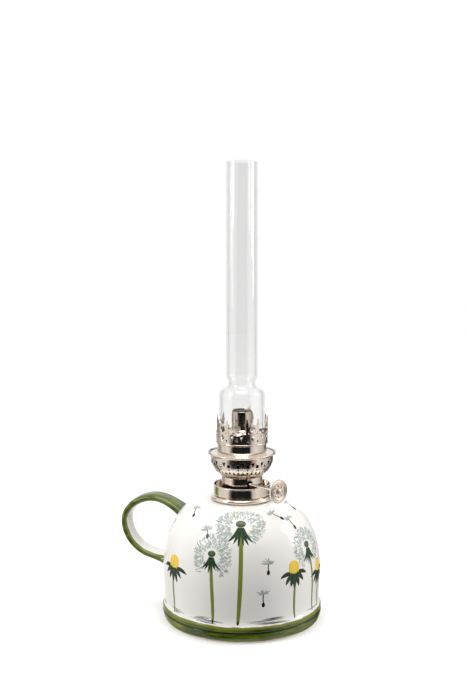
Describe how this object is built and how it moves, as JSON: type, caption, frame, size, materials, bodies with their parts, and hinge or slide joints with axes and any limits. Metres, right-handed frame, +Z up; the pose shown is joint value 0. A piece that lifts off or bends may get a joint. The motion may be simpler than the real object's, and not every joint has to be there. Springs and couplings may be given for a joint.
{
  "type": "oil lamp",
  "caption": "Table oil lamp with a domed ceramic font, a strap handle, a nickel burner with a pierced basket and pronged crown, and a tall glass chimney.",
  "frame": {"origin": "centre of the foot ring, on the surface the lamp stands on", "axes": "+Z up along the burner's and chimney's axis, -X through the handle, +Y away from the side that carries the key"},
  "size_m": [0.1559, 0.1202, 0.341],
  "materials": {
    "white_glaze": "gloss",
    "green_glaze": "gloss",
    "plaster": "matte",
    "nickel": "polished",
    "brass": "satin",
    "cotton": "matte",
    "glass": "gloss"
  },
  "bodies": {
    "font": {"font": "white_glaze", "handle": "green_glaze", "collar_cement": "plaster", "collar": "nickel"},
    "burner": {"burner_cup": "nickel", "burner_neck": "nickel", "burner_plate": "nickel", "shaft_bracket": "brass", "wick_guide": "brass", "air_basket": "nickel", "gallery": "nickel", "crown": "nickel", "air_deflector": "nickel", "wick_tube": "nickel", "air_tube": "brass", "air_duct": "brass"},
    "key": {"key_shaft": "nickel", "feed_wheels": "brass", "key_wheel": "nickel", "key_rivet": "nickel"},
    "wick": {"wick": "cotton"},
    "chimney": {"chimney": "glass"}
  },
  "joints": [
    {"name": "burner_lift", "type": "slide", "parent": "font", "child": "burner", "axis": [0, 0, 1], "range_m": [0, 0.08]},
    {"name": "chimney_lift", "type": "slide", "parent": "burner", "child": "chimney", "axis": [0, 0, 1], "range_m": [0, 0.06]},
    {"name": "key_turn", "type": "hinge", "parent": "burner", "child": "key", "pos_m": [-0.00291, -0.00466, 0.10405], "axis": [0.848, -0.5299, 0], "range_deg": [-180, 72]},
    {"name": "wick_rise", "type": "slide", "parent": "burner", "child": "wick", "axis": [0, 0, 1], "range_m": [-0.0098, 0.004]}
  ],
  "couplings": [
    {"joint": "wick_rise", "follows": "key_turn", "m_per_rad": 0.0031}
  ]
}
